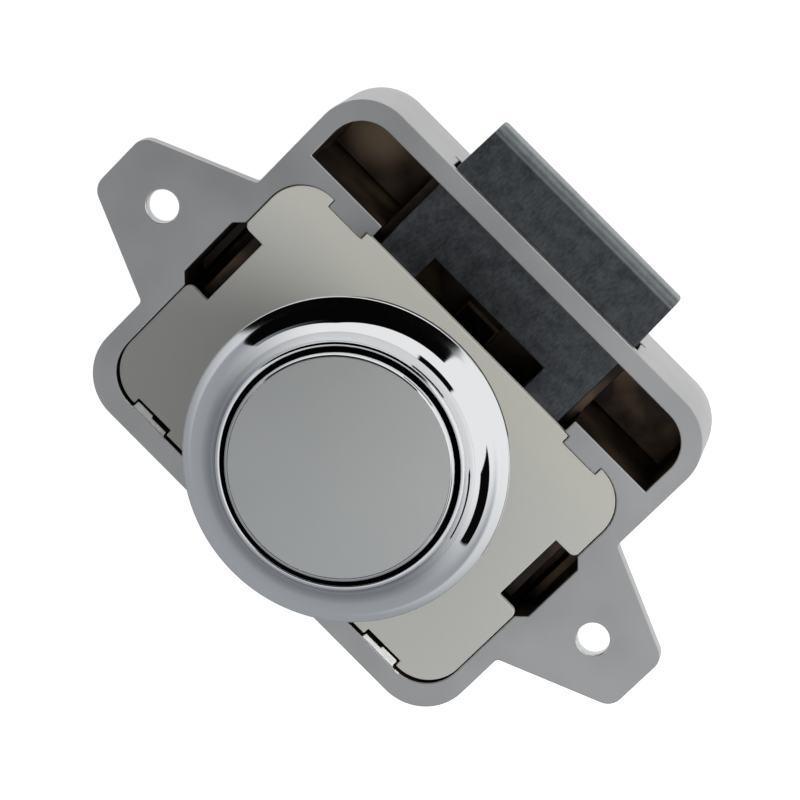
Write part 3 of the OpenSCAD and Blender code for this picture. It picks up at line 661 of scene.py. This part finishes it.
# Turned steel, zinc plated: fine rings too small to show, drawn as a grain
turnedSteel = grainedMaterial("zincPlatedSteel", "#b2b3b3", "#989a9a", 0.6, 0.3, 1.0)
# Drawn spring wire: smooth with a grey drawing film
springWire = grainedMaterial("drawnSpringWire", "#a3a5a8", "#8b8d90", 0.5, 0.28, 1.0)
# Blued spring steel under a film of grease: nearly black
bluedSteel = grainedMaterial("bluedSpringSteel", "#2b2622", "#171412", 0.8, 0.4, 1.0)
# Yellow passivated nut: a pale, slightly uneven yellow
yellowZinc = grainedMaterial("yellowPassivatedZinc", "#bdb48f", "#a89d80", 1.2, 0.3, 1.0)
# Moulded acetal: dense, slightly waxy
acetal = grainedMaterial("mouldedAcetal", "#8f8878", "#857e70", 1.5, 0.42, 0.0)
# Bore of the rosette: nearly black, painted shade in the narrow gap round the knob
boreShade = grainedMaterial("rosetteBorePaintedShade", "#1c1c1d", "#131314", 0.4, 0.5, 0.6)
# Black rubber sheet: matt, with a fine grain
rubber = grainedMaterial("blackRubber", "#2d2d2e", "#202021", 0.5, 0.65, 0.0)
print("materials ready")

# Case: the casting with softened edges; dark inside with painted shade over bare zinc, a painted highlight on
# its heel keys, bright in its ear holes
caseSet = {  # mm
    "edge": 0.14,
    "wellX": 25.6, "wellHeel": -18.6, "wellToe": 23.6,      # the open inside, to its walls
    "wellFloor": -13.7, "wellRim": -0.2,
    "bayX": 26.65, "bayY": 0.4, "bayHalf": 5,               # the bays in its side walls
    "slotX": 14.7, "slotHeel": 23, "slotToe": 25.2,         # the bolt's slot
    "rollX": 24, "rollY": 22.5, "rollTop": -13.5,           # the round foot of the walls stays chromed
    "earX": 27.3,
    "keyX": (15, 21.5), "keyY": -17.7, "keyZ": -0.6,        # tops of the heel keys
    "holeX": 33.2, "holeY": 0.0, "holeR": 1.82, "holeNear": 0.1,
}


def makeCase():
    s = caseSet
    piece = mergedCopy("lock_case", "caseCasting")
    softenEdges(piece, s["edge"])
    finishPiece(piece, "lock_body", "lock_case", (caseChrome, recessShade, lugHighlight, mirrorChrome))
    for face in piece.data.polygons:
        x, y, z = (c / mm for c in face.center)
        side = s["bayX"] if abs(y - s["bayY"]) < s["bayHalf"] else s["wellX"]
        well = abs(x) < side and s["wellHeel"] < y < s["wellToe"]
        slot = abs(x) < s["slotX"] and s["slotHeel"] < y < s["slotToe"]
        deep = s["wellFloor"] < z < s["wellRim"]
        roll = z < s["rollTop"] and (abs(x) > s["rollX"] or y > s["rollY"])
        ear = abs(x) > s["earX"]
        heelKey = y < s["keyY"] and z > s["keyZ"] and s["keyX"][0] < abs(x) < s["keyX"][1]
        fromHole = math.hypot(abs(x) - s["holeX"], y - s["holeY"])
        # painted highlight on the tops of the heel keys
        if heelKey:
            face.material_index = 2
        elif abs(fromHole - s["holeR"]) < s["holeNear"]:
            face.material_index = 3
        # painted shade: the insides of the well and the bolt's slot take the dark recess finish
        elif (well or slot) and deep and not ear and not roll:
            face.material_index = 1


makeCase()
print("case ready")

# Plate: moulded edges slightly rounded, and a real thread on its tube, which is turned down to its core
plateSet = {
    "edge": 0.12, "tube": 9.5, "core": 8.95, "crest": 9.48,  # mm
    "near": 0.03, "threadClear": 0.6,                        # mm, finds the tube's outer vertices
    "pitch": 1.25, "threadFrom": 1.3, "threadTo": 12.6,      # mm
    "rooted": 0.2,                                           # mm, that the thread stands in the core
    "foot": 0.42, "land": 0.08,                              # half widths as shares of the pitch
    "steps": 72,                                             # in a turn
    "sharp": 30,                                             # degrees
}


def makePlate():
    s = plateSet
    piece = mergedCopy("carrier_plate", "carrierPlateMoulding")
    for vertex in piece.data.vertices:
        r = math.hypot(vertex.co.x, vertex.co.y) / mm
        if abs(r - s["tube"]) < s["near"] and vertex.co.z > s["threadClear"] * mm:
            vertex.co.x *= s["core"] / r
            vertex.co.y *= s["core"] / r
    softenEdges(piece, s["edge"])
    finishPiece(piece, "lock_body", "carrier_plate", (nylon,))


def makeThread():
    s = plateSet
    turns = (s["threadTo"] - s["threadFrom"]) / s["pitch"]
    steps = round(turns * s["steps"])
    foot, land = s["foot"] * s["pitch"], s["land"] * s["pitch"]
    profile = [(s["core"] - s["rooted"], -foot), (s["core"], -foot), (s["crest"], -land),
               (s["crest"], land), (s["core"], foot), (s["core"] - s["rooted"], foot)]
    section = [(r, z + s["threadFrom"]) for r, z in profile]
    thread = spinSection("tubeThread", section, steps, angle=turns * math.tau)
    editOff()
    rise = turns * s["pitch"] * mm / steps
    for i, vertex in enumerate(thread.data.vertices):
        vertex.co.z += rise * (i // len(section))
    editOn(thread)
    bpy.ops.mesh.normals_make_consistent(inside=False)
    editOff(s["sharp"])
    thread.data.materials.append(nylon)
    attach(thread, "lock_body")


makePlate()
makeThread()
print("plate ready")

# Bolt: the zinc bar with its edges rounded
boltSet = {"edge": 0.25}  # mm


def makeBolt():
    piece = mergedCopy("latch_bolt", "boltBar")
    softenEdges(piece, boltSet["edge"])
    finishPiece(piece, "bolt", "latch_bolt", (boltZinc,))


makeBolt()
print("bolt ready")

# Rosette: spun from its real section, so that its cove mirrors the room without flats
rosetteSet = {
    "threadR": 9.55, "boreR": 12.6, "collarR": 13.1, "sleeveR": 13.45, "edgeR": 17.25,  # mm
    "foot": 10.2, "web": 12.3, "back": 18.4, "edgeMid": 19.0, "edgeTop": 19.35, "collarTop": 22.3,  # mm
    "coveR": 3.345, "coveX": 16.4, "coveZ": 22.695,         # mm
    "coveSweep": 80.6,                                      # degrees
    "coveSteps": 60, "collarStep": 15,                      # segments, degrees of one
    "steps": 288,
    "boreNear": 0.02, "boreTop": 22.2,                      # mm, how far the painted shade reaches
}


def makeRosette():
    s = rosetteSet
    cove = []
    for k in range(s["coveSteps"] + 1):
        a = math.radians(-s["coveSweep"] * k / s["coveSteps"])
        cove.append((s["coveX"] + s["coveR"] * math.sin(a), s["coveZ"] - s["coveR"] * math.cos(a)))
    outer = roundedPath([
        (s["threadR"], s["web"], 0.1), (s["threadR"], s["foot"], 0.1), (s["sleeveR"], s["foot"], 0.3),
        (s["sleeveR"], s["back"], 0), (s["edgeR"], s["back"], 0.25), (s["edgeR"], s["edgeMid"], 0)])
    rim = roundedPath([
        (s["edgeR"], s["edgeMid"], 0), (s["edgeR"], s["edgeTop"], 0.16), (s["coveX"], s["edgeTop"], 0)])[1:-1]
    collar = roundedPath([
        cove[-1] + (0,), (s["collarR"], s["collarTop"], 0.13), (s["boreR"], s["collarTop"], 0.06),
        (s["boreR"], s["web"], 0)], s["collarStep"])[1:]
    piece = spunPiece("rosetteCup", outer + rim + cove + collar, s["steps"])
    finishPiece(piece, "lock_body", "rosette", (mirrorChrome, boreShade))
    for face in piece.data.polygons:
        r = math.hypot(face.center.x, face.center.y)
        if r < (s["boreR"] + s["boreNear"]) * mm and face.center.z < s["boreTop"] * mm:
            # painted shade inside the bore, round the knob
            face.material_index = 1


makeRosette()
print("rosette ready")

# Knob: spun cup with a rolled edge, and its satin face set in
knobSet = {
    "seatR": 11.67, "seat": 22.5, "top": 23.0,              # mm, where the face lies
    "rollR": 11.7, "rollZ": 21.7, "roll": (0.5, 1.3),       # mm, the edge's centre, its width and height
    "rollStep": 6, "rollSteps": 15,                         # degrees, segments
    "outR": 12.2, "foot": 14.0, "skirtR": 11.3, "roof": 21.6,  # mm
    "hubR": 5.2, "hubFoot": 14.5, "stemR": 3.02, "stemTop": 21.0,  # mm
    "discR": 11.65, "discTop": 22.95,                       # mm
    "steps": 288,
}


def makeKnob():
    s = knobSet
    edge = []
    for k in range(1, s["rollSteps"] + 1):
        a = math.radians(s["rollStep"] * k)
        edge.append((s["rollR"] + s["roll"][0] * math.sin(a), s["rollZ"] + s["roll"][1] * math.cos(a), 0))
    cup = roundedPath([(0, s["seat"], 0), (s["seatR"], s["seat"], 0), (s["seatR"], s["top"], 0)] + edge + [
        (s["outR"], s["foot"], 0.15), (s["skirtR"], s["foot"], 0.1), (s["skirtR"], s["roof"], 0.3),
        (s["hubR"], s["roof"], 0.3), (s["hubR"], s["hubFoot"], 0.15), (s["stemR"], s["hubFoot"], 0.1),
        (s["stemR"], s["stemTop"], 0), (0, s["stemTop"], 0)])
    piece = spunPiece("knobCup", cup, s["steps"], closed=False)
    finishPiece(piece, "knob", "knob_shell", (mirrorChrome,))
    disc = roundedPath([
        (0, s["seat"], 0), (s["discR"], s["seat"], 0), (s["discR"], s["discTop"], 0.1), (0, s["discTop"], 0)])
    piece = spunPiece("knobDisc", disc, s["steps"], closed=False)
    finishPiece(piece, "knob", "knob_face", (satinChrome,))


makeKnob()
print("knob ready")

# Coil springs: copies of the CAD nodes with their finishes, fixed where they stand
springSet = {  # name, moving body, finish, seated end and moving end in mm
    "knob_spring": ("knobCoil", "knob", springWire, (0, 0, 7.9), (0, 0, 21.6)),
    "bolt_spring_left": ("leftBoltCoil", "bolt", bluedSteel, (-11, -18.55, -3.25), (-11, 2.0, -3.25)),
    "bolt_spring_right": ("rightBoltCoil", "bolt", bluedSteel, (11, -18.55, -3.25), (11, 2.0, -3.25)),
}


def makeSprings():
    for nodeName, (name, body, finish, seated, moving) in springSet.items():
        piece = addObject(name, nodes[nodeName].data.copy())
        piece.data.materials.clear()
        piece.data.materials.append(finish)
        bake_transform(piece)
        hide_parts(nodeName)


makeSprings()
print("springs ready")

# Finishes of the CAD nodes, by the record's material slots
looks = {
    "case_chrome": caseChrome, "polished_chrome": mirrorChrome, "satin_chrome": satinChrome,
    "bolt_zinc": boltZinc, "nylon": nylon, "carriage_plastic": acetal, "spring_steel": springWire,
    "turned_steel": turnedSteel, "yellow_zinc": yellowZinc, "gasket_rubber": rubber,
}
bluedNodes = ("cam_wire", "wire_leaf", "leaf_screw", "bolt_spring_left", "bolt_spring_right")


def finishNodes():
    for part in frame["record"]["subparts"]:
        mesh = nodes[part["node"]].data
        mesh.materials.clear()
        mesh.materials.append(bluedSteel if part["node"] in bluedNodes else looks[part["material_slot"]])


finishNodes()
print("node finishes ready")
